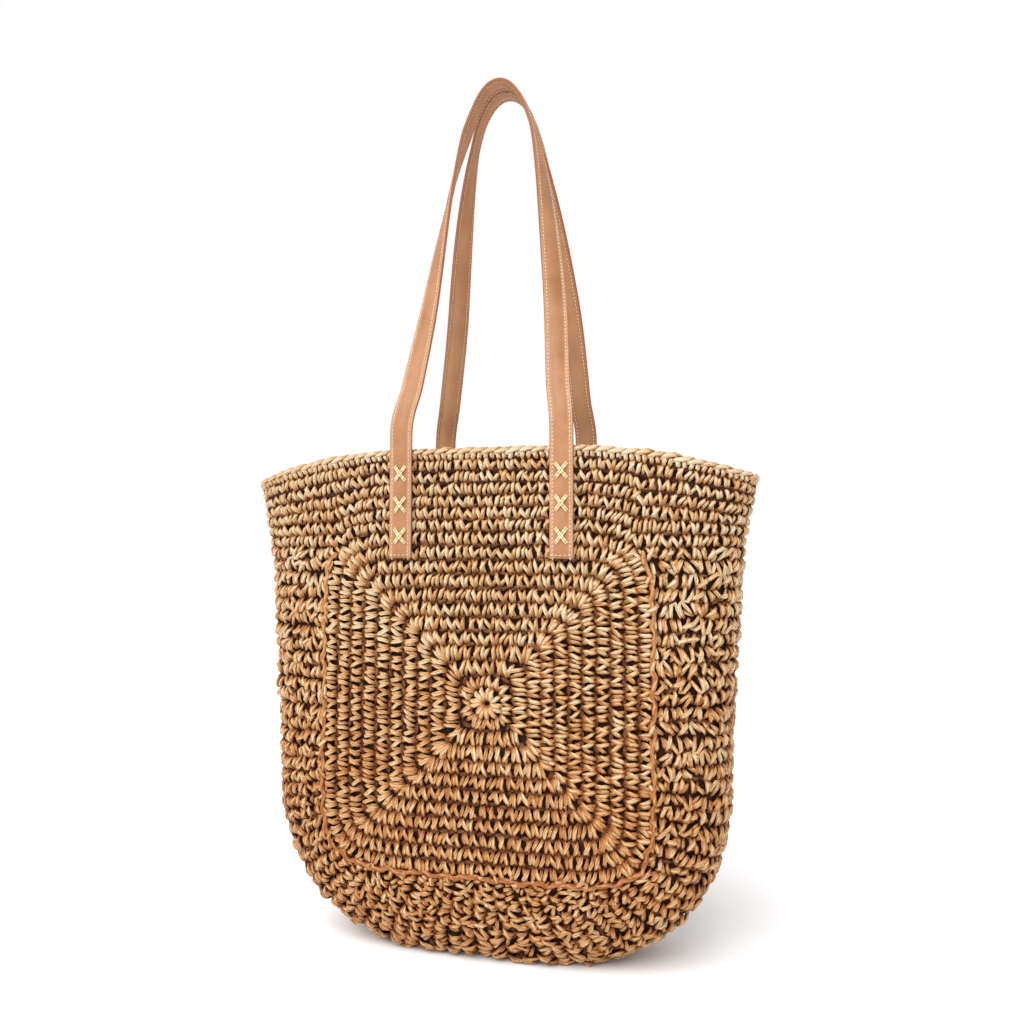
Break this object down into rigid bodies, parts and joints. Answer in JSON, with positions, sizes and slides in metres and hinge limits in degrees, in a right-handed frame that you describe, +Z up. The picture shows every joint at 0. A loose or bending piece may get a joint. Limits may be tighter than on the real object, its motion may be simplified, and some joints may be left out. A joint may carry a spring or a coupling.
{
  "type": "beach bag",
  "caption": "Crocheted straw tote with square worked panels, a wrap-round gusset, a flared mouth and long leather shoulder handles that fold outwards.",
  "frame": {"origin": "middle of the flat spot under the bag, on the surface that it stands on", "axes": "+Z up, +X along the width of the bag, -Y towards the front panel"},
  "size_m": [0.4076, 0.1184, 0.6891],
  "materials": {
    "straw": "crocheted twisted paper straw, natural tan with darker gaps, satin",
    "seam_straw": "single strand of twisted paper straw worked as a wavy surface chain",
    "lining": "dark brown woven polyester lining",
    "snap_metal": "antique brass plated magnetic snap",
    "strap_filler": "felt filler strip",
    "strap_backing": "smooth tan leather backing, matt",
    "strap_leather": "smooth tan leather with fine pore grain, satin, darker painted edges",
    "cross_thread": "cream waxed thread",
    "edge_thread": "tan and cream polyester sewing thread"
  },
  "bodies": {
    "bag": {"front_panel": "straw", "back_panel": "straw", "gusset_left": "straw", "gusset_base": "straw", "gusset_right": "straw", "mouth_band": "straw", "rim_edging": "straw", "front_seam_chain": "seam_straw", "back_seam_chain": "seam_straw", "lining": "lining", "pocket": "lining", "snap_stud": "snap_metal", "snap_socket": "snap_metal", "front_left_end_face": "strap_leather", "front_left_end_filler": "strap_filler", "front_left_end_backing": "strap_backing", "front_right_end_face": "strap_leather", "front_right_end_filler": "strap_filler", "front_right_end_backing": "strap_backing", "back_left_end_face": "strap_leather", "back_left_end_filler": "strap_filler", "back_left_end_backing": "strap_backing", "back_right_end_face": "strap_leather", "back_right_end_filler": "strap_filler", "back_right_end_backing": "strap_backing", "front_cross_stitches": "cross_thread", "back_cross_stitches": "cross_thread", "end_stitching": "edge_thread"},
    "front_handle": {"front_handle_face": "strap_leather", "front_handle_filler": "strap_filler", "front_handle_backing": "strap_backing", "front_handle_stitching": "edge_thread"},
    "back_handle": {"back_handle_face": "strap_leather", "back_handle_filler": "strap_filler", "back_handle_backing": "strap_backing", "back_handle_stitching": "edge_thread"}
  },
  "joints": [
    {"name": "front_handle_fold", "type": "hinge", "parent": "bag", "child": "front_handle", "pos_m": [0, -0.05335, 0.381], "axis": [1, 0, 0], "range_deg": [0, 135]},
    {"name": "back_handle_fold", "type": "hinge", "parent": "bag", "child": "back_handle", "pos_m": [0, 0.05335, 0.381], "axis": [-1, 0, 0], "range_deg": [0, 135]}
  ]
}
